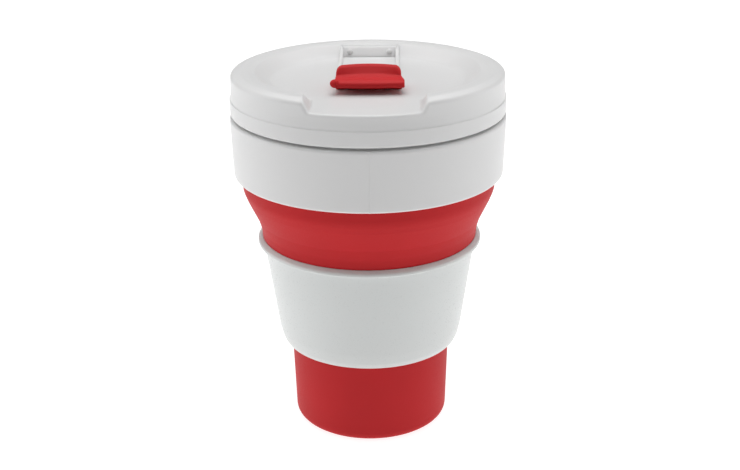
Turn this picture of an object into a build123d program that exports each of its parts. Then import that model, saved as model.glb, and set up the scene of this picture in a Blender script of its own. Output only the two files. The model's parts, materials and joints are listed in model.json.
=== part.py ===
"""Collapsible travel cup: a folding silicone body, a collar, a heat sleeve, a lid and a flip stopper.

The frame is in millimetres, +Z up, with the origin at the middle of the foot, on the table.
The lid's drinking notch faces -Y. The silicone body is one moulding, cut here into the zones
that move against each other: base cup, lower fold, middle ring, upper fold and rim.
"""

import os

from build123d import *

os.makedirs("parts", exist_ok=True)

# Silicone body: heights of its zones, from the table up
base_height = 36.0
lower_fold_rise = 15.5
middle_height = 24.5
upper_fold_rise = 18.5
rim_height = 29.0

# Silicone body: outside radii and walls
foot_radius = 27.8
foot_round = 3.0
base_top_radius = 28.9
base_wall = 1.9
base_floor = 2.6
foot_recess_radius = 21.0
foot_recess_depth = 0.8
fold_wall = 1.4
middle_wall = 1.8
middle_top_radius = 38.8
rim_radius = 44.4
rim_wall = 1.4
rim_bead_height = 1.3
fold_slope_height = 12.0

# Heat sleeve
sleeve_bottom_z = 31.0
sleeve_height = 40.3
sleeve_mouth_radius = 30.0
sleeve_edge_radius = 31.1
sleeve_curl_radius = 33.1
sleeve_curl_height = 5.5
sleeve_top_radius = 37.7
sleeve_wall = 1.6
sleeve_flange_radius = 39.8
sleeve_flange_height = 2.2
sleeve_flare_height = 4.0
sleeve_flare_radius = 38.2
sleeve_clearance = 0.1

# Collar
collar_bottom_radius = 47.0
collar_top_radius = 47.5
collar_drop = 0.5
collar_height = 21.2
collar_wall = 1.6
collar_edge_round = 0.8
neck_wall = 1.0
neck_clearance = 0.05

# Lid
lid_gap = 0.7
lid_skirt_radius = 47.5
lid_band_height = 5.3
lid_band_step = 0.3
lid_side_height = 6.8
lid_top_radius = 46.7
lid_wall = 1.8
lid_side_clearance = 0.25
lid_crest_radius = 41.0
lid_crest_rise = 2.7
lid_recess_radius = 37.4
lid_recess_draft = 0.4
lid_recess_depth = 4.1
lid_inner_edge_drop = 0.6
lid_floor = 1.8
lid_seat_gap = 0.1
plug_clearance = 0.4
plug_wall = 1.4
plug_depth = 5.7
seal_groove_depth = 0.6
seal_height = 2.0
seal_overlap_gap = 0.05
notch_width = 34.0
notch_side_lean = 1.5
rim_core_inset = 0.4
rail_inset = 9.5
rail_width = 1.4
rail_height = 1.2
park_pip_radius = 1.0
park_pip_x = 7.3
park_pip_height = 1.7
park_stop_y = 32.5
park_stop_height = 3.1

# Stopper and its drinking hole
hole_centre_y = -12.0
hole_length = 15.0
hole_width = 6.6
stopper_plug_clearance = 0.1
stopper_plug_depth = 3.4
stopper_plug_taper = 0.5
stopper_lift = 0.2
stopper_width = 21.4
stopper_lip_width = 22.6
stopper_lip_front = -23.6
stopper_lip_radius = 1.1
stopper_lip_z = 3.3
stopper_front = -15.8
stopper_back = -7.2
stopper_height = 7.2
stopper_crease_y = -16.6
stopper_crease_z = 4.5
stopper_ridge_y = -13.4
stopper_ridge_foot = 4.9
stopper_nub_reach = 1.3
stopper_nub_radius = 1.4
stopper_nub_y = -21.8
stopper_nub_z = 3.6
strap_width = 16.0
strap_thickness = 1.6
hinge_y = 3.0
hinge_rise = 2.6
hinge_radius = 1.0
hinge_gap = 0.3
anchor_length = 6.6
anchor_thickness = 2.0
stud_x = 4.5
stud_radius = 1.7
stud_clearance = 0.1
stud_head_radius = 2.6
stud_head_height = 1.2

# Places worked out from the sizes above
middle_bottom_z = base_height + lower_fold_rise
middle_top_z = middle_bottom_z + middle_height
rim_bottom_z = middle_top_z + upper_fold_rise
rim_top_z = rim_bottom_z + rim_height
rim_inner_radius = rim_radius - rim_wall

sleeve_top_z = sleeve_bottom_z + sleeve_height
sleeve_curl_z = sleeve_bottom_z + sleeve_curl_height
sleeve_flange_z = sleeve_top_z - sleeve_flange_height
sleeve_flare_z = sleeve_top_z - sleeve_flare_height


def sleeve_inner_radius(z):
    """Radius of the sleeve's tapered inner wall at height z."""
    climb = (z - sleeve_curl_z) / (sleeve_flange_z - sleeve_curl_z)
    return sleeve_curl_radius - sleeve_wall + climb * (sleeve_top_radius - sleeve_curl_radius)


collar_bottom_z = rim_bottom_z - collar_drop
collar_top_z = collar_bottom_z + collar_height
neck_inner_radius = rim_radius + neck_clearance
neck_radius = neck_inner_radius + neck_wall
neck_top_z = rim_top_z - rim_bead_height

lid_bottom_z = collar_top_z + lid_gap
lid_band_z = lid_bottom_z + lid_band_height
lid_edge_z = lid_band_z + lid_side_height
lid_crest_z = lid_edge_z + lid_crest_rise
lid_inner_edge_z = lid_crest_z - lid_inner_edge_drop
lid_floor_z = lid_crest_z - lid_recess_depth
lid_floor_under_z = lid_floor_z - lid_floor
lid_skirt_inner_radius = neck_radius + lid_side_clearance
lid_seat_z = rim_top_z + lid_seat_gap
plug_radius = rim_inner_radius - plug_clearance
plug_bottom_z = lid_seat_z - plug_depth
seal_inner_radius = plug_radius - seal_groove_depth
seal_radius = rim_inner_radius - seal_overlap_gap
seal_z = plug_bottom_z + 1.2

stopper_bottom_z = lid_floor_z + stopper_lift
lip_centre_z = lid_floor_z + stopper_lip_z
lip_centre_y = stopper_lip_front + stopper_lip_radius
hinge_z = lid_floor_z + hinge_rise
notch_inner_y = lid_recess_radius / 2
rail_x = rail_inset + rail_width / 2
rail_front_y = stopper_back + 0.6
rail_length = lid_recess_radius - rail_front_y
rail_middle_y = (lid_recess_radius + rail_front_y) / 2
park_pip_z = lid_floor_z + park_pip_height
park_stop_length = lid_recess_radius - park_stop_y
park_stop_middle_y = (lid_recess_radius + park_stop_y) / 2
anchor_front_y = hinge_y + hinge_radius + hinge_gap
anchor_back_y = anchor_front_y + anchor_length
stud_y = (anchor_front_y + anchor_back_y) / 2

# Base cup: the lowest zone of the silicone body, which the cup stands on
with BuildPart() as base_cup:
    with BuildSketch(Plane.XZ):
        with BuildLine():
            Polyline(
                (0, foot_recess_depth),
                (foot_recess_radius, foot_recess_depth),
                (foot_recess_radius + foot_recess_depth, 0),
                (foot_radius - foot_round, 0),
            )
            RadiusArc((foot_radius - foot_round, 0), (foot_radius, foot_round), -foot_round)
            Polyline(
                (foot_radius, foot_round),
                (base_top_radius, base_height),
                (base_top_radius - base_wall, base_height),
                (foot_radius - base_wall, base_floor + foot_round),
            )
            RadiusArc(
                (foot_radius - base_wall, base_floor + foot_round),
                (foot_radius - base_wall - foot_round, base_floor),
                foot_round,
            )
            Polyline(
                (foot_radius - base_wall - foot_round, base_floor),
                (0, base_floor),
                (0, foot_recess_depth),
            )
        make_face()
    revolve(axis=Axis.Z)
base_cup.part.label = "base_cup"
export_step(base_cup.part, "parts/base_cup.step")

# Lower fold: the thin cone between base and middle ring, which turns inside out
middle_bottom_radius = sleeve_inner_radius(middle_bottom_z) - sleeve_clearance
with BuildPart() as lower_fold:
    with BuildSketch(Plane.XZ):
        Polygon(
            (base_top_radius, base_height),
            (middle_bottom_radius, middle_bottom_z),
            (middle_bottom_radius - fold_wall, middle_bottom_z),
            (base_top_radius - fold_wall, base_height),
            align=None,
        )
    revolve(axis=Axis.Z)
lower_fold.part.label = "lower_fold"
export_step(lower_fold.part, "parts/lower_fold.step")

# Middle ring: the stiff tapered zone that the sleeve is wedged on, with the shoulder that stops it
shoulder_bottom_radius = sleeve_inner_radius(sleeve_flare_z) - sleeve_clearance
shoulder_top_radius = sleeve_flare_radius - sleeve_clearance
shoulder_top_z = sleeve_top_z - sleeve_clearance
with BuildPart() as middle_ring:
    with BuildSketch(Plane.XZ):
        Polygon(
            (middle_bottom_radius, middle_bottom_z),
            (shoulder_bottom_radius, sleeve_flare_z),
            (shoulder_top_radius, shoulder_top_z),
            (middle_top_radius, middle_top_z),
            (middle_top_radius - fold_wall, middle_top_z),
            (shoulder_top_radius - middle_wall, shoulder_top_z),
            (shoulder_bottom_radius - middle_wall, sleeve_flare_z),
            (middle_bottom_radius - middle_wall, middle_bottom_z),
            align=None,
        )
    revolve(axis=Axis.Z)
middle_ring.part.label = "middle_ring"
export_step(middle_ring.part, "parts/middle_ring.step")

# Upper fold: the band that rolls over the sleeve's flange when the cup is pressed flat
slope_top_z = middle_top_z + fold_slope_height
with BuildPart() as upper_fold:
    with BuildSketch(Plane.XZ):
        Polygon(
            (middle_top_radius, middle_top_z),
            (rim_radius, slope_top_z),
            (rim_radius, rim_bottom_z),
            (rim_inner_radius, rim_bottom_z),
            (rim_inner_radius, slope_top_z + fold_wall / 2),
            (middle_top_radius - fold_wall, middle_top_z),
            align=None,
        )
    revolve(axis=Axis.Z)
upper_fold.part.label = "upper_fold"
export_step(upper_fold.part, "parts/upper_fold.step")

# Rim: the top zone, held inside the collar, with a bead over the collar's neck that the lid seals on
with BuildPart() as rim_ring:
    with BuildSketch(Plane.XZ):
        Polygon(
            (rim_inner_radius, rim_bottom_z),
            (rim_radius, rim_bottom_z),
            (rim_radius, neck_top_z),
            (neck_radius, neck_top_z),
            (neck_radius, rim_top_z),
            (rim_inner_radius, rim_top_z),
            align=None,
        )
    revolve(axis=Axis.Z)
    top_edges = rim_ring.edges().group_by(Axis.Z)[-1]
    fillet(top_edges, radius=rim_bead_height / 3)
rim_ring.part.label = "rim_ring"
export_step(rim_ring.part, "parts/rim_ring.step")

# Collar: the rigid ring round the rim, with the neck that the lid is pushed on to
collar_inner_bottom = collar_bottom_radius - collar_wall
with BuildPart() as collar:
    with BuildSketch(Plane.XZ):
        Polygon(
            (collar_inner_bottom, collar_bottom_z),
            (collar_bottom_radius, collar_bottom_z),
            (collar_top_radius, collar_top_z),
            (neck_radius, collar_top_z),
            (neck_radius, neck_top_z),
            (neck_inner_radius, neck_top_z),
            (neck_inner_radius, rim_bottom_z + collar_wall),
            align=None,
        )
    revolve(axis=Axis.Z)
    bottom_edge = collar.edges().group_by(Axis.Z)[0].sort_by(SortBy.RADIUS)[-1]
    fillet(bottom_edge, radius=collar_edge_round)
    shoulder_edge = collar.edges().filter_by_position(
        Axis.Z, collar_top_z - 0.01, collar_top_z + 0.01
    ).sort_by(SortBy.RADIUS)[-1]
    fillet(shoulder_edge, radius=collar_edge_round)
collar.part.label = "collar"
export_step(collar.part, "parts/collar.step")

# Heat sleeve: the tapered ring with a curled-in bottom and a flange round its top
with BuildPart() as heat_sleeve:
    with BuildSketch(Plane.XZ):
        with BuildLine():
            Line((sleeve_mouth_radius, sleeve_bottom_z), (sleeve_edge_radius, sleeve_bottom_z))
            ThreePointArc(
                (sleeve_edge_radius, sleeve_bottom_z),
                (sleeve_curl_radius - 0.6, sleeve_bottom_z + sleeve_curl_height * 0.44),
                (sleeve_curl_radius, sleeve_curl_z),
            )
            Polyline(
                (sleeve_curl_radius, sleeve_curl_z),
                (sleeve_top_radius, sleeve_flange_z),
                (sleeve_flange_radius, sleeve_flange_z),
                (sleeve_flange_radius, sleeve_top_z),
                (sleeve_flare_radius, sleeve_top_z),
                (sleeve_inner_radius(sleeve_flare_z), sleeve_flare_z),
                (sleeve_inner_radius(sleeve_curl_z), sleeve_curl_z),
                (sleeve_mouth_radius, sleeve_bottom_z + sleeve_wall),
                (sleeve_mouth_radius, sleeve_bottom_z),
            )
        make_face()
    revolve(axis=Axis.Z)
    flange_edges = heat_sleeve.edges().filter_by(
        lambda e: abs(e.radius - sleeve_flange_radius) < 0.01 if e.geom_type == GeomType.CIRCLE else False
    )
    fillet(flange_edges, radius=sleeve_flange_height * 0.4)
heat_sleeve.part.label = "heat_sleeve"
export_step(heat_sleeve.part, "parts/heat_sleeve.step")

# Hollow inside the lid's rim, left solid under the drinking notch
with BuildPart() as rim_core:
    with BuildSketch(Plane.XZ):
        Polygon(
            (plug_radius + rim_core_inset, lid_seat_z),
            (lid_skirt_inner_radius - rim_core_inset, lid_seat_z),
            (lid_skirt_inner_radius - rim_core_inset, lid_edge_z),
            (plug_radius + rim_core_inset, lid_crest_z - lid_wall),
            align=None,
        )
    revolve(axis=Axis.Z)
    with Locations((0, -lid_skirt_radius, lid_seat_z)):
        Box(
            notch_width + 2 * lid_wall + 2 * notch_side_lean,
            lid_skirt_radius,
            4 * lid_recess_depth,
            mode=Mode.SUBTRACT,
        )

# Lid: a domed ring with a sunk floor, a drinking notch and two rails that the parked stopper lies between
with BuildPart() as lid_shell:
    with BuildSketch(Plane.XZ):
        with BuildLine():
            Polyline(
                (lid_skirt_inner_radius, lid_bottom_z),
                (lid_skirt_radius, lid_bottom_z),
                (lid_skirt_radius, lid_band_z),
                (lid_skirt_radius - lid_band_step, lid_band_z + lid_band_step),
                (lid_top_radius, lid_edge_z - 1.0),
            )
            ThreePointArc(
                (lid_top_radius, lid_edge_z - 1.0),
                (lid_top_radius - 0.9, lid_edge_z + 1.1),
                (lid_top_radius - 2.6, lid_edge_z + 2.2),
            )
            ThreePointArc(
                (lid_top_radius - 2.6, lid_edge_z + 2.2),
                (lid_crest_radius, lid_crest_z),
                (lid_recess_radius, lid_inner_edge_z),
            )
            Polyline(
                (lid_recess_radius, lid_inner_edge_z),
                (lid_recess_radius - lid_recess_draft, lid_floor_z),
                (0, lid_floor_z),
                (0, lid_floor_under_z),
                (plug_radius - plug_wall, lid_floor_under_z),
                (plug_radius - plug_wall, plug_bottom_z),
                (plug_radius, plug_bottom_z),
                (plug_radius, seal_z),
                (seal_inner_radius, seal_z),
                (seal_inner_radius, seal_z + seal_height),
                (plug_radius, seal_z + seal_height),
                (plug_radius, lid_seat_z),
                (lid_skirt_inner_radius, lid_seat_z),
                (lid_skirt_inner_radius, lid_bottom_z),
            )
        make_face()
    revolve(axis=Axis.Z)
    # the rim is cored from below, except under the notch
    add(rim_core.part, mode=Mode.SUBTRACT)
    # drinking notch through the front of the rim, with sides that lean out
    with BuildSketch(Plane.XZ.offset(notch_inner_y)):
        Polygon(
            (-notch_width / 2, lid_floor_z),
            (notch_width / 2, lid_floor_z),
            (notch_width / 2 + notch_side_lean, lid_crest_z + notch_side_lean),
            (-notch_width / 2 - notch_side_lean, lid_crest_z + notch_side_lean),
            align=None,
        )
    extrude(amount=lid_skirt_radius, mode=Mode.SUBTRACT)
    # rails along both sides of the strap, up to the recess wall
    with BuildSketch(Plane.XY.offset(lid_floor_z)):
        with Locations((rail_x, rail_middle_y), (-rail_x, rail_middle_y)):
            Rectangle(rail_width, rail_length)
        Circle(lid_recess_radius, mode=Mode.INTERSECT)
    extrude(amount=rail_height)
    # stop between the rails' ends, in front of the recess wall, for the parked stopper
    with BuildSketch(Plane.XY.offset(lid_floor_z)):
        with Locations((0, park_stop_middle_y)):
            Rectangle(2 * rail_inset, park_stop_length)
        Circle(lid_recess_radius, mode=Mode.INTERSECT)
    extrude(amount=park_stop_height)
    # pips on the stop that the parked stopper's lip presses past
    with Locations((park_pip_x, park_stop_y, park_pip_z), (-park_pip_x, park_stop_y, park_pip_z)):
        Sphere(radius=park_pip_radius)
    # drinking hole
    with BuildSketch(Plane.XY.offset(lid_floor_under_z)):
        with Locations((0, hole_centre_y)):
            SlotOverall(hole_length, hole_width)
    extrude(amount=lid_floor, mode=Mode.SUBTRACT)
    # holes for the stopper anchor's studs
    with Locations((stud_x, stud_y, lid_floor_z), (-stud_x, stud_y, lid_floor_z)):
        Hole(radius=stud_radius + stud_clearance, depth=lid_floor)
lid_shell.part.label = "lid_shell"
export_step(lid_shell.part, "parts/lid_shell.step")

# Lid seal: the ring in the plug's groove that wipes the inside of the rim
with BuildPart() as lid_seal:
    with BuildSketch(Plane.XZ):
        Polygon(
            (seal_inner_radius, seal_z),
            (plug_radius, seal_z),
            (seal_radius, seal_z + seal_height / 4),
            (seal_radius, seal_z + seal_height * 3 / 4),
            (plug_radius, seal_z + seal_height),
            (seal_inner_radius, seal_z + seal_height),
            align=None,
        )
    revolve(axis=Axis.Z)
lid_seal.part.label = "lid_seal"
export_step(lid_seal.part, "parts/lid_seal.step")

# Stopper: finger lip, raised back and the plug that closes the drinking hole
with BuildPart() as stopper_tab:
    with BuildSketch(Plane.YZ):
        with BuildLine():
            Polyline(
                (stopper_back, stopper_bottom_z),
                (stopper_front, stopper_bottom_z),
                (stopper_front, lip_centre_z - stopper_lip_radius),
                (lip_centre_y, lip_centre_z - stopper_lip_radius),
            )
            ThreePointArc(
                (lip_centre_y, lip_centre_z - stopper_lip_radius),
                (stopper_lip_front, lip_centre_z),
                (lip_centre_y, lip_centre_z + stopper_lip_radius),
            )
            Polyline(
                (lip_centre_y, lip_centre_z + stopper_lip_radius),
                (stopper_crease_y, lid_floor_z + stopper_crease_z),
                (stopper_ridge_y, lid_floor_z + stopper_ridge_foot),
                (stopper_ridge_y + 1.6, lid_floor_z + stopper_height - 0.2),
                (stopper_ridge_y + 2.4, lid_floor_z + stopper_height),
                (stopper_back - 1.6, lid_floor_z + stopper_height - 0.2),
                (stopper_back, lid_floor_z + stopper_height - 1.6),
                (stopper_back, stopper_bottom_z),
            )
        make_face()
    extrude(amount=stopper_lip_width / 2, both=True)
    # the back is a rounded D, narrower than the lip
    with BuildSketch(Plane.XY.offset(stopper_bottom_z)):
        with BuildLine():
            Polyline(
                (-stopper_width / 2, stopper_back - 4.0),
                (-stopper_lip_width / 2, stopper_front),
                (-stopper_lip_width / 2, stopper_lip_front),
                (stopper_lip_width / 2, stopper_lip_front),
                (stopper_lip_width / 2, stopper_front),
                (stopper_width / 2, stopper_back - 4.0),
            )
            ThreePointArc(
                (stopper_width / 2, stopper_back - 4.0),
                (0, stopper_back),
                (-stopper_width / 2, stopper_back - 4.0),
            )
        make_face()
    extrude(amount=stopper_height, mode=Mode.INTERSECT)
    # rolled end that stands out on the left of the lip
    with BuildSketch(Plane.YZ.offset(-stopper_lip_width / 2)):
        with Locations((stopper_nub_y, lid_floor_z + stopper_nub_z)):
            Circle(stopper_nub_radius)
    extrude(amount=-stopper_nub_reach)
    # plug
    with BuildSketch(Plane.XY.offset(stopper_bottom_z)):
        with Locations((0, hole_centre_y)):
            SlotOverall(
                hole_length - 2 * stopper_plug_clearance,
                hole_width - 2 * stopper_plug_clearance,
            )
    with BuildSketch(Plane.XY.offset(stopper_bottom_z - stopper_plug_depth)):
        with Locations((0, hole_centre_y)):
            SlotOverall(
                hole_length - 2 * stopper_plug_clearance - 2 * stopper_plug_taper,
                hole_width - 2 * stopper_plug_clearance - 2 * stopper_plug_taper,
            )
    loft()
stopper_tab.part.label = "stopper_tab"
export_step(stopper_tab.part, "parts/stopper_tab.step")

# Stopper strap: from the back of the tab to the rolled hinge in front of the anchor
with BuildPart() as stopper_strap:
    with BuildSketch(Plane.YZ):
        Polygon(
            (stopper_back - 0.9, stopper_bottom_z),
            (hinge_y, stopper_bottom_z),
            (hinge_y, stopper_bottom_z + strap_thickness),
            (stopper_back - 0.9, stopper_bottom_z + strap_thickness),
            align=None,
        )
        with Locations((hinge_y, hinge_z)):
            Circle(hinge_radius)
    extrude(amount=strap_width / 2, both=True)
    add(stopper_tab.part, mode=Mode.SUBTRACT)
stopper_strap.part.label = "stopper_strap"
export_step(stopper_strap.part, "parts/stopper_strap.step")

# Stopper anchor: the pad behind the hinge, with two studs pulled through the lid's floor
with BuildPart() as stopper_anchor:
    with BuildSketch(Plane.XY.offset(lid_floor_z)):
        with Locations((0, stud_y)):
            RectangleRounded(strap_width, anchor_length, stud_radius)
    extrude(amount=anchor_thickness)
    with BuildSketch(Plane.XY.offset(lid_floor_z)):
        with Locations((stud_x, stud_y), (-stud_x, stud_y)):
            Circle(stud_radius)
    extrude(amount=-lid_floor)
    with BuildSketch(Plane.XY.offset(lid_floor_under_z)):
        with Locations((stud_x, stud_y), (-stud_x, stud_y)):
            Circle(stud_head_radius)
    extrude(amount=-stud_head_height)
    head_edges = stopper_anchor.edges().group_by(Axis.Z)[0]
    chamfer(head_edges, length=stud_head_height * 0.6)
stopper_anchor.part.label = "stopper_anchor"
export_step(stopper_anchor.part, "parts/stopper_anchor.step")

pieces = [
    base_cup, lower_fold, middle_ring, upper_fold, rim_ring, collar,
    heat_sleeve, lid_shell, lid_seal, stopper_tab, stopper_strap, stopper_anchor,
]
for piece in pieces:
    extent = piece.part.bounding_box()
    print(f"{piece.part.label}: z {extent.min.Z:.2f} to {extent.max.Z:.2f}, {piece.part.volume:.0f} mm3")
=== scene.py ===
"""Collapsible travel cup: its surfaces and materials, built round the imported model.

Laid out as an add-on: sizes and colours are properties, and each piece has its operator.
Lengths in the text are millimetres; meshes are written in metres in the model's own frame.
"""
import json
import math

import bmesh
import bpy
from mathutils import Matrix, Vector


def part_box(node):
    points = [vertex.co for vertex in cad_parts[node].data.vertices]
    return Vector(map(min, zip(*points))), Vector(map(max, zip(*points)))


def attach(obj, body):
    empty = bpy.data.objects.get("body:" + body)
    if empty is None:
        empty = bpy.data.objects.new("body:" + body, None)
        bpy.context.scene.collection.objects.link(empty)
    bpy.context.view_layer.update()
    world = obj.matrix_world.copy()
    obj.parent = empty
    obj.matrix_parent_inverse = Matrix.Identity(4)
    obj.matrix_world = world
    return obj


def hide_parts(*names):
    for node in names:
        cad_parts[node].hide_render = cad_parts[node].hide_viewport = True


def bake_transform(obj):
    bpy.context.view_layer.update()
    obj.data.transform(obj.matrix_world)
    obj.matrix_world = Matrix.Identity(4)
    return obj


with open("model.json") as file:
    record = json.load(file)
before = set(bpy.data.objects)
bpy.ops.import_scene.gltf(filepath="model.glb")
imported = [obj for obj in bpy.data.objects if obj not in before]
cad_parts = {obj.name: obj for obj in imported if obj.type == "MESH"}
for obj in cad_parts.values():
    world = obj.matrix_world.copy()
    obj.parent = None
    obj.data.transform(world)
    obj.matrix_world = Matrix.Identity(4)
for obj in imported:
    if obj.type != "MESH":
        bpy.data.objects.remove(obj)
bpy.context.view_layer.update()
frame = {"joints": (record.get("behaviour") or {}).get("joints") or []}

bl_info = {
    "name": "Collapsible Travel Cup",
    "version": (1, 0, 0),
    "blender": (4, 5, 0),
    "location": "View3D > Sidebar > Cup",
    "description": "Builds a folding silicone cup with its collar, sleeve, lid and stopper",
    "category": "Object",
}

MM = 0.001
FULL_TURN = 2 * math.pi
LATHE_STEPS = 256
LID_STEPS = 720


def box_mm(node):
    """Lowest and highest corner of a node of the model, in millimetres."""
    low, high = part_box(node)
    return low / MM, high / MM


def top_of(node):
    return box_mm(node)[1].z


def bottom_of(node):
    return box_mm(node)[0].z


def radius_of(node):
    return box_mm(node)[1].x


# Heights and radii that the model settles
FOLD_LOWER_Z = bottom_of("lower_fold")
MIDDLE_Z = bottom_of("middle_ring")
RIM_Z = bottom_of("rim_ring")
RIM_TOP_Z = top_of("rim_ring")
FOOT_RADIUS = 27.8
BASE_RADIUS = radius_of("base_cup")
RIM_RADIUS = radius_of("upper_fold")
NECK_RADIUS = radius_of("rim_ring")
COLLAR_Z = bottom_of("collar")
COLLAR_RADIUS = radius_of("collar")
NECK_TOP_Z = top_of("collar")
SLEEVE_Z = bottom_of("heat_sleeve")
SLEEVE_TOP_Z = top_of("heat_sleeve")
FLANGE_RADIUS = radius_of("heat_sleeve")
# The sleeve's bore widens by BORE_FLARE from above its curled foot to below its flange
CURL_Z, FLANGE_Z = SLEEVE_Z + 5.5, SLEEVE_TOP_Z - 2.2
BORE_RADIUS, BORE_FLARE = 31.5, 4.6
LID_Z = bottom_of("lid_shell")
LID_TOP_Z = top_of("lid_shell")
LID_RADIUS = radius_of("lid_shell")
LID_FLOOR_Z = LID_TOP_Z - 4.1
LID_UNDER_Z = LID_FLOOR_Z - 1.8
HINGE = next(j for j in frame["joints"] if j["name"] == "stopper_flip")
HINGE_Y = HINGE["pos_m"][1] / MM


def from_hex(code):
    """Linear colour of an sRGB hex value."""
    channels = [int(code[i:i + 2], 16) / 255 for i in (1, 3, 5)]
    return [c / 12.92 if c <= 0.04045 else ((c + 0.055) / 1.055) ** 2.4 for c in channels]


# ---------------------------------------------------------------- outlines


def arc_corner(before, corner, after, radius):
    """Points that round a corner of an outline, with one support point outside each end."""
    into, out = (before - corner), (after - corner)
    reach_in, reach_out = into.length, out.length
    into.normalize()
    out.normalize()
    half = into.angle(out) / 2
    if half > math.pi / 2 - 0.01:
        return [corner]
    cut = min(radius / math.tan(half), 0.48 * reach_in, 0.48 * reach_out)
    radius = cut * math.tan(half)
    centre = corner + (into + out).normalized() * (radius / math.sin(half))
    start, end = corner + into * cut, corner + out * cut
    sweep = math.pi - 2 * half
    count = max(2, round(sweep / math.radians(14)))
    a, b = start - centre, end - centre
    turn = math.atan2(a.x * b.y - a.y * b.x, a.dot(b))
    points = []
    for i in range(count + 1):
        angle = turn * i / count
        points.append(centre + Matrix.Rotation(angle, 2) @ a)
    support = min(0.12 * radius + 0.05, 0.01 * min(reach_in, reach_out) + 0.05)
    return [start + into * support, *points, end + out * support]


def outline(corners, closed=True):
    """Outline in (radius, height) from corners given as (radius, height, rounding)."""
    places = [Vector(c[:2]) for c in corners]
    points = []
    for i, corner in enumerate(corners):
        ends = not closed and i in (0, len(corners) - 1)
        if ends or len(corner) < 3 or corner[2] <= 0:
            points.append(places[i])
        else:
            before, after = places[i - 1], places[(i + 1) % len(places)]
            points.extend(arc_corner(before, places[i], after, corner[2]))
    return points


def finer(points, step, closed=True):
    """The same outline with no stretch longer than step."""
    result = []
    last = len(points) if closed else len(points) - 1
    for i in range(last):
        a, b = points[i], points[(i + 1) % len(points)]
        pieces = max(1, math.ceil((b - a).length / step))
        result.extend(a.lerp(b, k / pieces) for k in range(pieces))
    return result if closed else result + [points[-1]]


def evenly(points, count):
    """An open line cut into count stretches of one length."""
    lengths = [(b - a).length for a, b in zip(points, points[1:])]
    total = sum(lengths)
    result, run, i = [], 0.0, 0
    for k in range(count + 1):
        target = total * k / count
        while i < len(lengths) - 1 and run + lengths[i] < target:
            run += lengths[i]
            i += 1
        share = (target - run) / lengths[i] if lengths[i] else 0
        result.append(points[i].lerp(points[i + 1], min(max(share, 0), 1)))
    return result


def eased(low, high, value):
    """0 below low, 1 above high, smooth between."""
    t = min(max((value - low) / (high - low), 0), 1)
    return t * t * (3 - 2 * t)


# ---------------------------------------------------------------- meshes


def piece_from(bm, name, material):
    """Turns a finished bmesh in metres into a smooth-shaded object at the origin."""
    mesh = bpy.data.meshes.new(name)
    bm.to_mesh(mesh)
    bm.free()
    mesh.shade_smooth()
    mesh.materials.append(material)
    piece = bpy.data.objects.new(name, mesh)
    bpy.context.scene.collection.objects.link(piece)
    return piece


def crease(bm, degrees=38):
    """Splits the shading at edges that turn by more than degrees, and round wide flat faces."""
    limit = math.radians(degrees)
    for edge in bm.edges:
        wide = any(len(f.verts) > 64 for f in edge.link_faces)
        edge.smooth = len(edge.link_faces) == 2 and edge.calc_face_angle(0) < limit and not wide


def turned(points, steps=LATHE_STEPS, closed=True):
    """A bmesh of an outline spun round the cup's axis."""
    bm = bmesh.new()
    verts = [bm.verts.new((p.x * MM, 0, p.y * MM)) for p in points]
    pairs = list(zip(verts, verts[1:]))
    if closed:
        pairs.append((verts[-1], verts[0]))
    for a, b in pairs:
        if a.co.x > 1e-7 or b.co.x > 1e-7:
            bm.edges.new((a, b))
    bmesh.ops.spin(
        bm, geom=bm.verts[:] + bm.edges[:], cent=(0, 0, 0), axis=(0, 0, 1),
        angle=FULL_TURN, steps=steps, use_merge=True,
    )
    bmesh.ops.remove_doubles(bm, verts=bm.verts, dist=1e-7)
    bmesh.ops.recalc_face_normals(bm, faces=bm.faces)
    return bm


def prism(points, low, high, axis):
    """A bmesh of a flat outline pulled from low to high along axis (0 for X, 2 for Z)."""
    bm = bmesh.new()

    def place(p, level):
        if axis == 0:
            return (level * MM, p.x * MM, p.y * MM)
        return (p.x * MM, p.y * MM, level * MM)

    face = bm.faces.new([bm.verts.new(place(p, low)) for p in points])
    pulled = bmesh.ops.extrude_face_region(bm, geom=[face])
    moved = [v for v in pulled["geom"] if isinstance(v, bmesh.types.BMVert)]
    shift = Vector(place(Vector((0, 0)), high)) - Vector(place(Vector((0, 0)), low))
    bmesh.ops.translate(bm, vec=shift, verts=moved)
    bmesh.ops.recalc_face_normals(bm, faces=bm.faces)
    return bm


def joined(bm, other):
    """Adds another bmesh to bm."""
    mesh = bpy.data.meshes.new("joined")
    other.to_mesh(mesh)
    other.free()
    bm.from_mesh(mesh)
    bpy.data.meshes.remove(mesh)


def slot_outline(length, width, centre_y, steps=16):
    """A round-ended slot along X."""
    radius = width / 2
    reach = length / 2 - radius
    points = []
    for side in (1, -1):
        for k in range(steps + 1):
            angle = side * math.pi / 2 - math.pi * k / steps
            x = side * (reach + radius * abs(math.cos(angle)))
            points.append(Vector((x, centre_y + radius * math.sin(angle))))
    return points


def cut_by(bm, cutter):
    """Takes a closed bmesh away from another and returns what is left."""
    objects = []
    for source in (bm, cutter):
        mesh = bpy.data.meshes.new("cutting")
        source.to_mesh(mesh)
        source.free()
        o = bpy.data.objects.new("cutting", mesh)
        bpy.context.scene.collection.objects.link(o)
        objects.append(o)
    body, tool = objects
    modifier = body.modifiers.new("cut", "BOOLEAN")
    modifier.operation = "DIFFERENCE"
    modifier.solver = "EXACT"
    modifier.object = tool
    evaluated = body.evaluated_get(bpy.context.evaluated_depsgraph_get())
    result = bmesh.new()
    result.from_mesh(evaluated.to_mesh())
    for o in objects:
        mesh = o.data
        bpy.data.objects.remove(o)
        bpy.data.meshes.remove(mesh)
    return result


# ---------------------------------------------------------------- materials


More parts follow.
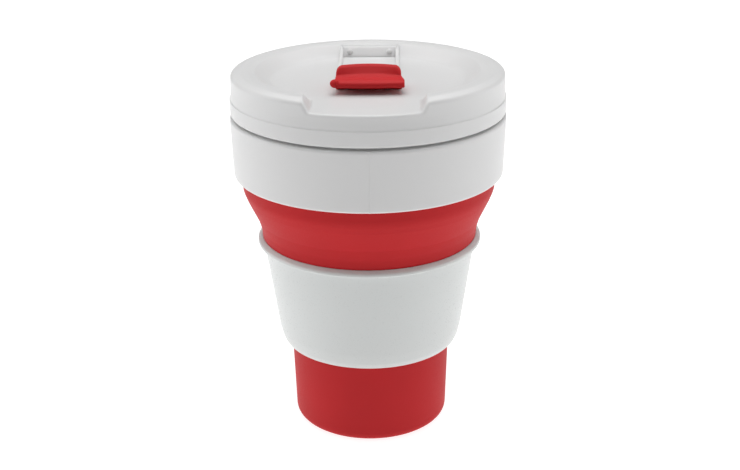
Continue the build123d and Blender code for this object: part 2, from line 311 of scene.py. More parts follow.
def add_node(tree, kind, sockets=None, **settings):
    """Adds a shader node; sockets holds values, or other nodes' outputs to link from."""
    new = tree.nodes.new(kind)
    for name, value in settings.items():
        setattr(new, name, value)
    for name, value in (sockets or {}).items():
        if isinstance(value, bpy.types.NodeSocket):
            tree.links.new(value, new.inputs[name])
        else:
            new.inputs[name].default_value = value
    return new


def fresh_material(name):
    material = bpy.data.materials.new(name)
    material.use_nodes = True
    material.node_tree.nodes.clear()
    return material, material.node_tree


def per_metre(size_mm):
    """Noise scale that gives features about size_mm across on coordinates in metres."""
    return 1 / (size_mm * MM)


def moulded_silicone(name, colour):
    """Compression-moulded silicone rubber, from a spark-eroded tool.

    The fine eroded grain makes it matte with a broad soft sheen; pigment is even, with a faint
    cloudiness over a few centimetres, and light goes a little way in at thin edges.
    """
    material, tree = fresh_material(name)
    place = add_node(tree, "ShaderNodeTexCoord").outputs["Object"]
    # grain about 0.25 mm across on the tool, drawn at 0.45 mm so that it shows
    grain = add_node(tree, "ShaderNodeTexNoise", {"Vector": place, "Scale": per_metre(0.45), "Detail": 3.0})
    cloud = add_node(tree, "ShaderNodeTexNoise", {"Vector": place, "Scale": per_metre(18), "Detail": 2.0})
    tint = add_node(tree, "ShaderNodeMix", {"Factor": cloud.outputs["Fac"]}, data_type="RGBA")
    tint.inputs["A"].default_value = (*[c * 0.93 for c in colour], 1)
    tint.inputs["B"].default_value = (*[min(1, c * 1.07) for c in colour], 1)
    rough = add_node(
        tree, "ShaderNodeMapRange",
        {"Value": grain.outputs["Fac"], "From Min": 0.3, "From Max": 0.7, "To Min": 0.50, "To Max": 0.64},
    )
    bump = add_node(
        tree, "ShaderNodeBump",
        {"Height": grain.outputs["Fac"], "Strength": 0.35, "Distance": 0.03 * MM},
    )
    shader = add_node(
        tree, "ShaderNodeBsdfPrincipled",
        {
            "Base Color": tint.outputs["Result"], "Roughness": rough.outputs["Result"], "IOR": 1.41,
            "Normal": bump.outputs["Normal"], "Subsurface Weight": 0.06,
            "Subsurface Radius": (1.2, 0.25, 0.2), "Subsurface Scale": 1.0 * MM,
            "Specular IOR Level": 0.22,
        },
    )
    add_node(tree, "ShaderNodeOutputMaterial", {"Surface": shader.outputs["BSDF"]})
    return material


def moulded_polypropylene(name, colour, rough_low=0.30, rough_high=0.42):
    """Injection-moulded white polypropylene with a satin tool finish.

    It is slightly see-through in thin places, so its edges glow a little, and the skin has a
    faint orange peel that breaks up wide highlights.
    """
    material, tree = fresh_material(name)
    place = add_node(tree, "ShaderNodeTexCoord").outputs["Object"]
    # satin texture about 0.2 mm on the tool, drawn at 0.5 mm; orange peel about 3 mm
    satin = add_node(tree, "ShaderNodeTexNoise", {"Vector": place, "Scale": per_metre(0.5), "Detail": 2.0})
    peel = add_node(tree, "ShaderNodeTexNoise", {"Vector": place, "Scale": per_metre(3.2), "Detail": 1.0})
    flow = add_node(tree, "ShaderNodeTexNoise", {"Vector": place, "Scale": per_metre(26), "Detail": 2.0})
    tint = add_node(tree, "ShaderNodeMix", {"Factor": flow.outputs["Fac"]}, data_type="RGBA")
    tint.inputs["A"].default_value = (*[c * 0.985 for c in colour], 1)
    tint.inputs["B"].default_value = (*[min(1, c * 1.015) for c in colour], 1)
    rough = add_node(
        tree, "ShaderNodeMapRange",
        {
            "Value": satin.outputs["Fac"], "From Min": 0.3, "From Max": 0.7,
            "To Min": rough_low, "To Max": rough_high,
        },
    )
    wave = add_node(
        tree, "ShaderNodeBump", {"Height": peel.outputs["Fac"], "Strength": 0.10, "Distance": 0.05 * MM}
    )
    bump = add_node(
        tree, "ShaderNodeBump",
        {
            "Height": satin.outputs["Fac"], "Strength": 0.12, "Distance": 0.02 * MM,
            "Normal": wave.outputs["Normal"],
        },
    )
    shader = add_node(
        tree, "ShaderNodeBsdfPrincipled",
        {
            "Base Color": tint.outputs["Result"], "Roughness": rough.outputs["Result"], "IOR": 1.49,
            "Normal": bump.outputs["Normal"], "Subsurface Weight": 0.40,
            "Subsurface Radius": (1.0, 0.97, 0.94), "Subsurface Scale": 2.0 * MM,
        },
    )
    add_node(tree, "ShaderNodeOutputMaterial", {"Surface": shader.outputs["BSDF"]})
    return material


def painted_sweep(name, colour):
    """Matte white paper sweep under and behind the cup."""
    material, tree = fresh_material(name)
    place = add_node(tree, "ShaderNodeTexCoord").outputs["Object"]
    fibre = add_node(tree, "ShaderNodeTexNoise", {"Vector": place, "Scale": per_metre(4), "Detail": 2.0})
    bump = add_node(tree, "ShaderNodeBump", {"Height": fibre.outputs["Fac"], "Strength": 0.02})
    # lit from below as well, as on a light table, so that the shadow stays faint
    shader = add_node(
        tree, "ShaderNodeBsdfPrincipled",
        {
            "Base Color": (*colour, 1), "Roughness": 0.9, "Normal": bump.outputs["Normal"],
            "Specular IOR Level": 0.0, "Emission Color": (1, 1, 1, 1), "Emission Strength": 0.87,
        },
    )
    add_node(tree, "ShaderNodeOutputMaterial", {"Surface": shader.outputs["BSDF"]})
    return material


def shared_material(key):
    """The material of that key, made from the colours in the panel on first use."""
    look = bpy.context.scene.cup_look
    makers = {
        "red_moulded_silicone": lambda n: moulded_silicone(n, look.silicone_colour),
        "clear_seal_silicone": lambda n: moulded_silicone(n, look.seal_colour),
        "white_satin_polypropylene": lambda n: moulded_polypropylene(n, look.lid_colour),
        "cool_white_polypropylene": lambda n: moulded_polypropylene(n, look.sleeve_colour, 0.26, 0.38),
        "white_paper_sweep": lambda n: painted_sweep(n, look.floor_colour),
    }
    return bpy.data.materials.get(key) or makers[key](key)


# ---------------------------------------------------------------- properties


def length(name, description, value_mm, most_mm):
    return bpy.props.FloatProperty(
        name=name, description=description, default=value_mm * MM, min=0, max=most_mm * MM,
        unit="LENGTH", precision=5,
    )


def colour(name, description, code):
    return bpy.props.FloatVectorProperty(
        name=name, description=description, default=from_hex(code), size=3, min=0, max=1,
        subtype="COLOR",
    )


class CupLook(bpy.types.PropertyGroup):
    """Sizes and colours of the cup's surfaces that the model leaves open."""

    silicone_wall: length("Silicone wall", "Thickness of the stiff silicone zones", 1.9, 4)
    fold_wall: length("Fold wall", "Thickness of the silicone where it folds", 1.4, 3)
    plastic_wall: length("Plastic wall", "Thickness of collar and sleeve walls", 1.6, 3)
    seam_height: length("Mould line", "How far the collar's mould line stands out", 0.12, 0.5)
    silicone_colour: colour("Silicone", "Pigment of the red silicone", "#C22428")
    seal_colour: colour("Seal", "Colour of the unpigmented lid seal", "#D8D8D2")
    lid_colour: colour("Lid and collar", "Colour of the white polypropylene", "#DEDEDE")
    sleeve_colour: colour("Sleeve", "Colour of the cooler white sleeve", "#DADDDC")
    floor_colour: colour("Sweep", "Colour of the paper the cup stands on", "#A0A0A0")


def mm_of(prop):
    return getattr(bpy.context.scene.cup_look, prop) / MM


# ---------------------------------------------------------------- silicone body


def silicone_skin():
    """Outer and inner faces of the whole silicone body, as open lines from foot to rim."""
    wall, fold = mm_of("silicone_wall"), mm_of("fold_wall")
    outer = outline([
        (0, 0.8), (21.0, 0.8, 0.3), (21.8, 0, 0.3), (FOOT_RADIUS, 0, 3.0),
        (BASE_RADIUS, FOLD_LOWER_Z, 6), (sleeve_bore(MIDDLE_Z) - 0.1, MIDDLE_Z, 4),
        (sleeve_bore(SLEEVE_TOP_Z - 4.2) - 0.1, SLEEVE_TOP_Z - 4.2, 2), (38.1, SLEEVE_TOP_Z - 0.3, 2),
        (38.4, 74.2, 6), (39.5, 78.0, 1.2), (43.0, 85.4, 2.0), (44.4, 88.9, 7), (RIM_RADIUS, 93, 0),
        (RIM_RADIUS, NECK_TOP_Z, 0.2),
        (NECK_RADIUS, NECK_TOP_Z, 0.3), (NECK_RADIUS, RIM_TOP_Z, 0.55), (RIM_RADIUS - fold, RIM_TOP_Z, 0.55),
    ], closed=False)
    inner = outline([
        (0, 2.6), (FOOT_RADIUS - wall, 2.6, 3.0), (BASE_RADIUS - wall, FOLD_LOWER_Z - 1.0, 3),
        (BASE_RADIUS - fold, FOLD_LOWER_Z + 1.5, 3), (sleeve_bore(MIDDLE_Z) - 0.1 - fold, MIDDLE_Z, 3),
        (sleeve_bore(MIDDLE_Z) + 0.3 - wall, MIDDLE_Z + 3.0, 3),
        (sleeve_bore(SLEEVE_TOP_Z - 4.2) - 0.1 - wall, SLEEVE_TOP_Z - 3.6, 4), (36.6, 73.0, 4),
        (37.7, 77.5, 8), (41.3, 85.7, 2), (RIM_RADIUS - fold, 89.5, 6),
        (RIM_RADIUS - fold, RIM_TOP_Z, 0),
    ], closed=False)
    return outer, inner


def between(line, low, high):
    """The part of a rising line between two heights, cut exactly at both."""
    result = [line[0]] if low <= line[0].y <= high else []
    for a, b in zip(line, line[1:]):
        for level in (low, high):
            if (a.y - level) * (b.y - level) < 0:
                result.append(a.lerp(b, (level - a.y) / (b.y - a.y)))
        if low <= b.y <= high:
            result.append(b)
    return result


def sleeve_bore(z):
    """Radius of the sleeve's tapered inside at height z."""
    climb = (z - CURL_Z) / (FLANGE_Z - CURL_Z)
    return BORE_RADIUS + climb * BORE_FLARE


def silicone_piece(name, low, high, step=0):
    """One zone of the silicone body as a closed ring between two heights."""
    outer, inner = silicone_skin()
    points = between(outer, low, high) + between(inner, low, high)[::-1]
    bm = turned(finer(points, step) if step else points)
    crease(bm)
    piece = piece_from(bm, name, shared_material("red_moulded_silicone"))
    return piece


class CUP_OT_silicone_body(bpy.types.Operator):
    """Red silicone body: base, lower fold, middle ring, upper fold and rim"""

    bl_idname = "cup.silicone_body"
    bl_label = "Silicone body"

    def execute(self, context):
        # the upper seams lie behind the sleeve's flange and inside the collar
        upper_seam = SLEEVE_TOP_Z - 3.0
        rim_seam = RIM_Z + 1.5
        base = silicone_piece("base_cup_skin", -1, FOLD_LOWER_Z)
        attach(base, "base")
        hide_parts("base_cup")
        lower = silicone_piece("lower_fold_skin", FOLD_LOWER_Z, MIDDLE_Z, 1.0)
        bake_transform(lower)
        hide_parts("lower_fold")
        middle = silicone_piece("middle_ring_skin", MIDDLE_Z, upper_seam)
        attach(middle, "middle")
        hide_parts("middle_ring")
        upper = silicone_piece("upper_fold_skin", upper_seam, rim_seam, 0.8)
        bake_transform(upper)
        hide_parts("upper_fold")
        rim = silicone_piece("rim_ring_skin", rim_seam, RIM_TOP_Z + 1)
        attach(rim, "upper")
        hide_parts("rim_ring")
        return {"FINISHED"}


# ---------------------------------------------------------------- collar and sleeve


class CUP_OT_collar(bpy.types.Operator):
    """White collar round the rim, with the tool's parting line down its front and back"""

    bl_idname = "cup.collar"
    bl_label = "Collar"

    def execute(self, context):
        wall = mm_of("plastic_wall")
        shoulder_z = LID_Z - 0.95
        bore = NECK_RADIUS - 1.0
        bm = turned(outline([
            (COLLAR_RADIUS - 0.4 - wall, COLLAR_Z, 0.25), (COLLAR_RADIUS - 0.4, COLLAR_Z + 0.1, 2.4),
            (COLLAR_RADIUS + 0.3, shoulder_z, 1.3), (NECK_RADIUS, shoulder_z, 0.2),
            (NECK_RADIUS, NECK_TOP_Z), (bore, NECK_TOP_Z), (bore, COLLAR_Z + 2.1, 1.0),
        ]))
        parting_x, half_width = 1.2, 0.25
        raise_parting_line(bm, parting_x, half_width, mm_of("seam_height"), COLLAR_RADIUS - 1.0)
        crease(bm)
        piece = piece_from(bm, "collar_shell", shared_material("white_satin_polypropylene"))
        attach(piece, "upper")
        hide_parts("collar")
        return {"FINISHED"}


def raise_parting_line(bm, x, half_width, height, least_radius):
    """Lifts a fine ridge where the plane at x meets the outside of a turned shape."""
    for offset in (-half_width, 0, half_width):
        bmesh.ops.bisect_plane(
            bm, geom=bm.verts[:] + bm.edges[:] + bm.faces[:], dist=1e-7,
            plane_co=((x + offset) * MM, 0, 0), plane_no=(1, 0, 0),
        )
    for vert in bm.verts:
        radius = vert.co.xy.length / MM
        if abs(vert.co.x / MM - x) < 0.01 and radius > least_radius:
            stretch = (radius + height) / radius
            vert.co.x *= stretch
            vert.co.y *= stretch


class CUP_OT_sleeve(bpy.types.Operator):
    """Cool-white heat sleeve: a tapered band with a curled-in foot and a rounded flange"""

    bl_idname = "cup.sleeve"
    bl_label = "Heat sleeve"

    def execute(self, context):
        wall = mm_of("plastic_wall")
        curl_z, flange_z, flare_z = CURL_Z, FLANGE_Z, SLEEVE_TOP_Z - 4.0
        bm = turned(outline([
            (30.0, SLEEVE_Z, 0.5), (31.35, SLEEVE_Z, 0.7), (32.3, SLEEVE_Z + 2.0, 2.4),
            (sleeve_bore(curl_z) + wall, curl_z, 9), (sleeve_bore(flange_z) + wall, flange_z - 0.4, 0.6),
            (FLANGE_RADIUS, flange_z - 0.4, 0.9), (FLANGE_RADIUS, SLEEVE_TOP_Z - 1.45, 1.1),
            (FLANGE_RADIUS - 1.7, SLEEVE_TOP_Z - 0.2, 0.3), (sleeve_bore(flare_z), flare_z, 4),
            (sleeve_bore(curl_z), curl_z, 4), (30.0, SLEEVE_Z + wall, 0.4),
        ]))
        crease(bm)
        piece = piece_from(bm, "heat_sleeve_shell", shared_material("cool_white_polypropylene"))
        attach(piece, "sleeve")
        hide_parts("heat_sleeve")
        return {"FINISHED"}


# ---------------------------------------------------------------- lid


# Where the flat floor joins the ring, and the section's shared radii
FLOOR_RADIUS = 31.0
PLUG_RADIUS, PLUG_INSIDE, GROOVE_RADIUS = 42.6, 41.2, 42.0
CORE_INNER, CORE_OUTER = 43.0, 45.3
# The hollow under the dome ends this far beside the notch
CORE_MARGIN = 3.4
# Drinking hole and the two stud holes behind the hinge
HOLE_Y, HOLE_LENGTH, HOLE_WIDTH = -12.0, 15.0, 6.6
STUD_X, STUD_Y = 4.5, HINGE_Y + 4.6
# Notch, rails and the stop with its pips
NOTCH_HALF = 17.0
RAIL_INSIDE, RAIL_OUTSIDE = 9.5, 10.9
RAIL_FRONT_Y, RAIL_BACK_Y = -6.6, 37.8
STOP_Y = 32.5
PIP_X = 7.3
NOTCH_SIDE = 2.9
TOP_ROWS = 66


def lid_rows():
    """The lid ring's section as two lines of equal length: under the dome, and under the notch."""
    crest, edge = LID_TOP_Z, LID_TOP_Z - 2.7
    floor, under = LID_FLOOR_Z, LID_UNDER_Z
    skirt, side, inside_radius = LID_RADIUS, LID_RADIUS - 0.55, LID_RADIUS - 1.8
    shoulder_z = LID_FLOOR_Z - 2.0
    wall = outline([
        (inside_radius, LID_Z, 0.3), (skirt, LID_Z, 0.6), (skirt, LID_Z + 5.15, 0.25),
        (skirt - 0.28, LID_Z + 5.5, 0.3), (side, shoulder_z - 0.2),
    ], closed=False)
    dome = evenly(outline([
        (side, shoulder_z - 0.2), (LID_RADIUS - 0.5, edge + 1.4, 1.6), (44.0, crest - 0.3, 3),
        (41.0, crest - 0.4, 4), (38.6, crest - 0.8, 1.2), (33.4, floor, 4.5), (FLOOR_RADIUS, floor),
    ], closed=False), TOP_ROWS)
    platform = evenly(outline([
        (side, shoulder_z - 0.2), (46.9, floor - 0.3, 3.2), (38.5, floor, 12), (FLOOR_RADIUS, floor),
    ], closed=False), TOP_ROWS)
    seat = RIM_TOP_Z + 0.1
    foot = seat - 4.9
    groove_z, groove_top_z = foot + 0.4, foot + 2.4
    below = outline([
        (FLOOR_RADIUS, under), (PLUG_INSIDE, under, 0.6), (PLUG_INSIDE, foot, 0.4),
        (PLUG_RADIUS, foot, 0.4), (PLUG_RADIUS, groove_z), (GROOVE_RADIUS, groove_z),
        (GROOVE_RADIUS, groove_top_z), (PLUG_RADIUS, groove_top_z), (PLUG_RADIUS, seat), (CORE_INNER, seat),
    ], closed=False)
    roof_dome = [Vector((CORE_INNER, crest - 2.0)), Vector((CORE_OUTER, edge - 0.6))]
    roof_notch = [Vector((CORE_INNER, seat)), Vector((CORE_OUTER, seat))]
    inside = [
        Vector((CORE_OUTER, seat)), Vector((inside_radius, seat)), Vector((inside_radius, LID_Z + 0.4)),
    ]
    over = wall[1:] + dome[1:] + below + roof_dome + inside
    notch = wall[1:] + platform[1:] + below + roof_notch + inside
    core_rows = range(len(over) - len(inside) - 2, len(over) - len(inside))
    gap_after = len(wall) - 1 + TOP_ROWS - 1
    return over, notch, set(core_rows), gap_after


def lid_ring():
    """The domed ring, its front pressed down to a flat platform between two leaning sides."""
    over, notch, core_rows, gap_after = lid_rows()
    bm = bmesh.new()
    row = bm.verts.layers.int.new("row")
    verts = []
    for i, p in enumerate(over):
        vert = bm.verts.new((p.x * MM, 0, p.y * MM))
        vert[row] = i
        verts.append(vert)
    for i, (a, b) in enumerate(zip(verts, verts[1:] + verts[:1])):
        if i != gap_after:
            bm.edges.new((a, b))
    bmesh.ops.spin(
        bm, geom=bm.verts[:] + bm.edges[:], cent=(0, 0, 0), axis=(0, 0, 1),
        angle=FULL_TURN, steps=LID_STEPS, use_merge=True,
    )
    for vert in bm.verts:
        i = vert[row]
        if over[i] == notch[i] or vert.co.y > -0.01:
            continue
        low = NOTCH_HALF + (CORE_MARGIN if i in core_rows else 0)
        sine = abs(vert.co.x) / vert.co.xy.length
        radius = over[i].x
        for _ in range(4):
            share = 1 - eased(low, low + NOTCH_SIDE, radius * sine)
            place = over[i].lerp(notch[i], share)
            radius = place.x
        stretch = radius * MM / vert.co.xy.length
        vert.co = (vert.co.x * stretch, vert.co.y * stretch, place.y * MM)
    return bm


def lid_floor():
    """The sunk floor as a slab, with the drinking hole and the two stud holes, and no side."""
    floor, under = LID_FLOOR_Z, LID_UNDER_Z
    slab = turned([Vector((FLOOR_RADIUS, under)), Vector((FLOOR_RADIUS, floor))], LID_STEPS, closed=False)
    bmesh.ops.holes_fill(slab, edges=slab.edges, sides=0)
    bmesh.ops.recalc_face_normals(slab, faces=slab.faces)
    hole = prism(slot_outline(HOLE_LENGTH, HOLE_WIDTH, HOLE_Y), under - 1, floor - 0.7, 2)
    top = max(hole.faces, key=lambda f: f.calc_center_median().z)
    # the cutter widens step by step, so the hole's upper edge is flared
    for rise, grow in ((0.5, 0.1), (0.35, 0.55), (0.6, 0.3)):
        pulled = bmesh.ops.extrude_face_region(hole, geom=[top])
        old, top = top, next(f for f in pulled["geom"] if isinstance(f, bmesh.types.BMFace))
        bmesh.ops.delete(hole, geom=[old], context="FACES_ONLY")
        for vert in top.verts:
            out = Vector((vert.co.x, vert.co.y - HOLE_Y * MM, 0)).normalized()
            vert.co += out * grow * MM + Vector((0, 0, rise * MM))
    bmesh.ops.recalc_face_normals(hole, faces=hole.faces)
    slab = cut_by(slab, hole)
    for x in (-STUD_X, STUD_X):
        stud = bmesh.new()
        place = Matrix.Translation((x * MM, STUD_Y * MM, (floor - 0.9) * MM))
        bmesh.ops.create_cone(
            stud, cap_ends=True, segments=48, radius1=1.8 * MM, radius2=1.8 * MM,
            depth=4 * MM, matrix=place,
        )
        slab = cut_by(slab, stud)
    edge = (FLOOR_RADIUS - 0.05) * MM
    sides = [f for f in slab.faces if all(v.co.xy.length > edge for v in f.verts) and abs(f.normal.z) < 0.5]
    bmesh.ops.delete(slab, geom=sides, context="FACES")
    return slab


def pulled_profile(side, low_x, high_x, rounding):
    """A flat side view, as (y, z), pulled from low_x to high_x with all its edges rounded."""
    bm = prism([Vector(p) for p in side], low_x, high_x, 0)
    bmesh.ops.bevel(
        bm, geom=bm.edges[:], offset=rounding * MM, offset_type="OFFSET", segments=3,
        profile=0.5, affect="EDGES", material=-1, clamp_overlap=True,
    )
    return bm


class CUP_OT_lid(bpy.types.Operator):
    """White lid: domed ring, drinking notch, sunk floor, rails, and the stop with its pips"""

    bl_idname = "cup.lid"
    bl_label = "Lid"

    def execute(self, context):
        bm = lid_ring()
        joined(bm, lid_floor())
        bmesh.ops.remove_doubles(bm, verts=bm.verts, dist=2e-6)
        bmesh.ops.recalc_face_normals(bm, faces=bm.faces)
        for side in (-1, 1):
            # low along the strap, and climbing beside the stop to meet the rim
            joined(bm, pulled_profile([
                (RAIL_FRONT_Y, LID_FLOOR_Z - 0.5), (RAIL_BACK_Y, LID_FLOOR_Z - 0.5),
                (RAIL_BACK_Y, LID_FLOOR_Z + 3.2), (STOP_Y + 1.0, LID_FLOOR_Z + 2.9),
                (STOP_Y - 6.5, LID_FLOOR_Z + 1.2), (RAIL_FRONT_Y, LID_FLOOR_Z + 1.2),
            ], *sorted((side * RAIL_INSIDE, side * RAIL_OUTSIDE)), 0.45))
            pip = bmesh.new()
            place = Matrix.Translation(Vector((side * PIP_X, STOP_Y - 0.1, LID_FLOOR_Z + 1.7)) * MM)
            bmesh.ops.create_uvsphere(pip, u_segments=32, v_segments=20, radius=1.0 * MM, matrix=place)
            joined(bm, pip)
        joined(bm, pulled_profile([
            (STOP_Y - 1.5, LID_FLOOR_Z - 0.5), (RAIL_BACK_Y - 0.2, LID_FLOOR_Z - 0.5),
            (RAIL_BACK_Y - 0.2, LID_FLOOR_Z + 3.2), (STOP_Y + 1.6, LID_FLOOR_Z + 3.2),
            (STOP_Y - 1.2, LID_FLOOR_Z + 0.3),
        ], -RAIL_INSIDE - 0.4, RAIL_INSIDE + 0.4, 0.6))
        crease(bm)
        piece = piece_from(bm, "lid_moulding", shared_material("white_satin_polypropylene"))
        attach(piece, "lid")
        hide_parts("lid_shell")
        return {"FINISHED"}


class CUP_OT_seal(bpy.types.Operator):
    """Clear silicone ring with a wiping lip, in the groove of the lid's plug"""

    bl_idname = "cup.seal"
    bl_label = "Lid seal"

    def execute(self, context):
        low, high = bottom_of("lid_seal"), top_of("lid_seal")
        radius = radius_of("lid_seal")
        middle = (low + high) / 2
        bm = turned(outline([
            (GROOVE_RADIUS, low), (PLUG_RADIUS + 0.05, low, 0.15), (radius, middle - 0.3, 0.3),
            (radius, middle + 0.3, 0.3), (PLUG_RADIUS + 0.05, high, 0.15), (GROOVE_RADIUS, high),
        ]))
        crease(bm)
        piece = piece_from(bm, "lid_seal_ring", shared_material("clear_seal_silicone"))
        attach(piece, "lid")
        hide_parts("lid_seal")
        return {"FINISHED"}


# ---------------------------------------------------------------- stopper


LIP_SHIFT, RIDGE_SHIFT = 1.0, 0.6
LIP_HALF, RIDGE_HALF = 11.5, 10.8
STRAP_HALF = 8.0


def stopper_place(vert):
    """Moves a vertex of the straight tab to its place: bowed lip, round back, ridge with soft ends."""
    x, y, z = (c / MM for c in vert.co)
    side = abs(x) / LIP_HALF
    back = eased(-21.5, -12.0, y)
    half = LIP_HALF + (RIDGE_HALF - LIP_HALF) * back
    shift = LIP_SHIFT + (RIDGE_SHIFT - LIP_SHIFT) * back
    # the lip bows out at its middle, and the ridge is an arc in plan
    y += 0.8 * side ** 2 * (1 - eased(-20.0, -16.0, y))
    y -= 2.9 * side ** 2 * eased(-17.5, -11.5, y)
    # each end of the ridge falls away over a rounding of 1.9
    corner = max(0.0, (side * half - (half - 1.9)) / 1.9)
    fall = 1 - math.sqrt(max(0.0, 1 - min(1.0, corner) ** 2))
    above = max(0.0, z - (LID_FLOOR_Z + 4.5)) * back
    z -= fall * above * 0.85
    x = x / LIP_HALF * half + shift
    vert.co = (x * MM, y * MM, z * MM)


class CUP_OT_stopper(bpy.types.Operator):
    """Red silicone stopper: lip, raised back, plug, strap and anchor"""

    bl_idname = "cup.stopper"
    bl_label = "Stopper"

    def execute(self, context):
        material = shared_material("red_moulded_silicone")
        for name, maker, node in (
            ("stopper_tab_skin", stopper_tab, "stopper_tab"),
            ("stopper_strap_skin", stopper_strap, "stopper_strap"),
            ("stopper_anchor_skin", stopper_anchor, "stopper_anchor"),
        ):
            piece = piece_from(maker(), name, material)
            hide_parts(node)
            if node == "stopper_tab":
                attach(piece, "stopper")
            elif node == "stopper_anchor":
                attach(piece, "lid")
            else:
                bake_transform(piece)
        return {"FINISHED"}


def stopper_tab():
    """The tab: a rolled lip, a crease, and a face that climbs to a rounded ridge."""
    floor = LID_FLOOR_Z
    section = outline([
        (-7.2, floor + 0.2, 0.5), (-15.4, floor + 0.2, 0.4), (-15.8, floor + 2.3, 0.8),
        (-23.3, floor + 2.1, 1.0), (-23.8, floor + 4.0, 1.4), (-21.4, floor + 4.5, 2.2),
        (-16.8, floor + 4.4, 1.3), (-14.0, floor + 4.9, 1.4), (-11.6, floor + 7.2, 1.3),
        (-9.4, floor + 7.4, 1.6), (-7.2, floor + 5.6, 1.5),
    ])
    bm = prism(finer(section, 0.6), -LIP_HALF, LIP_HALF, 0)
    cuts = 44
    for i in range(1, cuts):
        x = -LIP_HALF + 2 * LIP_HALF * i / cuts
        bmesh.ops.bisect_plane(
            bm, geom=bm.verts[:] + bm.edges[:] + bm.faces[:], dist=1e-7,
            plane_co=(x * MM, 0, 0), plane_no=(1, 0, 0),
        )
    ends = [e for e in bm.edges if e.is_manifold and any(len(f.verts) > 12 for f in e.link_faces)]
    bmesh.ops.bevel(
        bm, geom=ends, offset=0.4 * MM, offset_type="OFFSET", segments=4,
        profile=0.5, affect="EDGES", material=-1, clamp_overlap=True,
    )
    for vert in bm.verts:
        stopper_place(vert)
    nub = bmesh.new()
    bmesh.ops.create_uvsphere(nub, u_segments=40, v_segments=24, radius=1.4 * MM)
    bmesh.ops.scale(nub, vec=(1.15, 1, 1), verts=nub.verts)
    place = Vector((LIP_SHIFT - LIP_HALF + 0.2, -21.8, floor + 3.6))
    bmesh.ops.translate(nub, vec=place * MM, verts=nub.verts)
    joined(bm, nub)
    plug = prism(slot_outline(HOLE_LENGTH - 0.2, HOLE_WIDTH - 0.2, HOLE_Y), floor + 0.4, floor - 3.2, 2)
    for vert in plug.verts:
        if vert.co.z < (floor - 1) * MM:
            vert.co.x *= 0.94
            vert.co.y = HOLE_Y * MM + (vert.co.y - HOLE_Y * MM) * 0.86
    bottom = [e for e in plug.edges if all(v.co.z < (floor - 1) * MM for v in e.verts)]
    bmesh.ops.bevel(
        plug, geom=bottom, offset=0.6 * MM, offset_type="OFFSET", segments=3,
        profile=0.5, affect="EDGES", material=-1, clamp_overlap=True,
    )
    joined(bm, plug)
    bmesh.ops.recalc_face_normals(bm, faces=bm.faces)
    crease(bm, 50)
    return bm


def stopper_strap():
    """The flat strap, thinned where it folds, from under the ridge to the anchor."""
    floor = LID_FLOOR_Z
    section = outline([
        (-8.4, floor + 0.2), (HINGE_Y - 2.2, floor + 0.2, 1), (HINGE_Y - 1.2, floor + 0.5, 1),
        (HINGE_Y + 1.2, floor + 0.5, 1), (HINGE_Y + 2.4, floor + 0.1, 0.4),
        (HINGE_Y + 2.4, floor + 1.9, 0.3), (HINGE_Y + 1.2, floor + 1.5, 1), (HINGE_Y - 1.2, floor + 1.5, 1),
        (HINGE_Y - 2.2, floor + 1.8, 1), (-8.4, floor + 1.8),
    ])
    bm = prism(finer(section, 0.4), -STRAP_HALF, STRAP_HALF, 0)
    ends = [e for e in bm.edges if any(len(f.verts) > 12 for f in e.link_faces)]
    bmesh.ops.bevel(
        bm, geom=ends, offset=0.35 * MM, offset_type="OFFSET", segments=3,
        profile=0.5, affect="EDGES", material=-1, clamp_overlap=True,
    )
    crease(bm, 50)
    return bm


def rounded_plan(half_x, low_y, high_y, radius):
    """A rounded rectangle in plan."""
    return outline([
        (-half_x, low_y, radius), (half_x, low_y, radius), (half_x, high_y, radius), (-half_x, high_y, radius)
    ])


def stopper_anchor():
    """The anchor pad behind the fold, and its two studs with domed heads under the floor."""
    floor, under = LID_FLOOR_Z, LID_UNDER_Z
    bm = prism(rounded_plan(STRAP_HALF, HINGE_Y + 1.6, HINGE_Y + 7.9, 1.7), floor, floor + 2.0, 2)
    top = [e for e in bm.edges if all(v.co.z > (floor + 1) * MM for v in e.verts)]
    bmesh.ops.bevel(
        bm, geom=top, offset=0.55 * MM, offset_type="OFFSET", segments=4,
        profile=0.5, affect="EDGES", material=-1, clamp_overlap=True,
    )
    for x in (-STUD_X, STUD_X):
        stud = turned(outline([
            (0, floor + 0.2), (1.7, floor + 0.2), (1.7, under, 0.1), (2.6, under, 0.3),
            (1.6, under - 1.2, 0.5), (0, under - 1.2),
        ], closed=False), 48, closed=False)
        bmesh.ops.translate(stud, vec=Vector((x, STUD_Y, 0)) * MM, verts=stud.verts)
        joined(bm, stud)
    bmesh.ops.recalc_face_normals(bm, faces=bm.faces)
    crease(bm, 50)
    return bm


# ---------------------------------------------------------------- stage


def area_light(name, place, aim, size, power, size_y=None):
    """A softbox at place, in metres, facing aim; square unless size_y is given."""
    data = bpy.data.lights.new(name, "AREA")
    data.shape = "RECTANGLE"
    data.size = size
    data.size_y = size_y or size
    data.energy = power
    light = bpy.data.objects.new(name, data)
    bpy.context.scene.collection.objects.link(light)
    light.location = place
    light.rotation_mode = "QUATERNION"
    light.rotation_quaternion = (Vector(aim) - Vector(place)).to_track_quat("-Z", "Y")


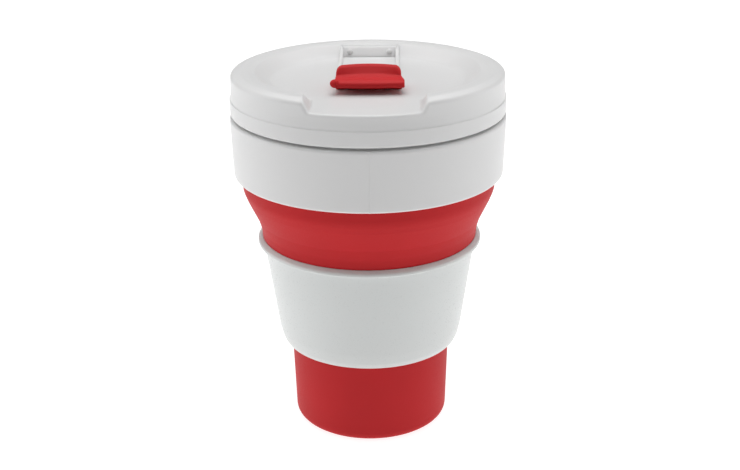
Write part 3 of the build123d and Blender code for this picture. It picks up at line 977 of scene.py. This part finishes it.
class CUP_OT_stage(bpy.types.Operator):
    """White paper sweep, soft studio light all round and the camera"""

    bl_idname = "cup.stage"
    bl_label = "Stage"

    def execute(self, context):
        scene = bpy.context.scene
        bm = bmesh.new()
        bmesh.ops.create_grid(bm, x_segments=8, y_segments=8, size=3.0)
        floor = piece_from(bm, "sweep", shared_material("white_paper_sweep"))

        world = bpy.data.worlds.new("white_room")
        scene.world = world
        world.use_nodes = True
        background = world.node_tree.nodes["Background"]
        background.inputs["Color"].default_value = (1, 1, 1, 1)
        background.inputs["Strength"].default_value = 0.10

        area_light("top_softbox", (0, 0.24, 1.1), (0, 0, 0.1), 1.35, 13)
        area_light("front_softbox", (0, -0.8, 0.95), (0, 0, 0.1), 1.0, 0.9)
        area_light("left_softbox", (-0.9, 0.1, 0.35), (0, 0, 0.09), 0.8, 3.5, size_y=0.9)
        area_light("right_softbox", (0.9, 0.1, 0.35), (0, 0, 0.09), 0.8, 2.9, size_y=0.9)

        camera = bpy.data.cameras.new("camera")
        camera.sensor_width = 36
        camera.lens = 60.86
        camera.shift_x = 0.0008
        eye = bpy.data.objects.new("camera", camera)
        scene.collection.objects.link(eye)
        turn, distance = math.radians(1.3), 0.4197
        eye.location = (distance * math.sin(turn), -distance * math.cos(turn), 0.2318)
        roll = Matrix.Rotation(math.radians(-0.6), 3, "Z")
        aim = Matrix.Rotation(turn, 3, "Z") @ Matrix.Rotation(math.radians(90 - 21.23), 3, "X")
        eye.rotation_euler = (aim @ roll).to_euler()
        scene.camera = eye
        scene.view_settings.view_transform = "Standard"
        return {"FINISHED"}


# ---------------------------------------------------------------- add-on


OPERATORS = (
    CUP_OT_silicone_body, CUP_OT_collar, CUP_OT_sleeve, CUP_OT_lid, CUP_OT_seal, CUP_OT_stopper,
    CUP_OT_stage,
)


class CUP_PT_panel(bpy.types.Panel):
    """Sizes, colours and the steps that build the cup"""

    bl_label = "Cup"
    bl_space_type = "VIEW_3D"
    bl_region_type = "UI"
    bl_category = "Cup"

    def draw(self, context):
        look = context.scene.cup_look
        for name in CupLook.__annotations__:
            self.layout.prop(look, name)
        for operator in OPERATORS:
            self.layout.operator(operator.bl_idname)


CLASSES = (CupLook, *OPERATORS, CUP_PT_panel)


def register():
    for cls in CLASSES:
        bpy.utils.register_class(cls)
    bpy.types.Scene.cup_look = bpy.props.PointerProperty(type=CupLook)


def unregister():
    del bpy.types.Scene.cup_look
    for cls in reversed(CLASSES):
        bpy.utils.unregister_class(cls)


def main():
    register()
    bpy.ops.cup.silicone_body()
    bpy.ops.cup.collar()
    bpy.ops.cup.sleeve()
    bpy.ops.cup.lid()
    bpy.ops.cup.seal()
    bpy.ops.cup.stopper()
    bpy.ops.cup.stage()


if __name__ == "__main__":
    main()
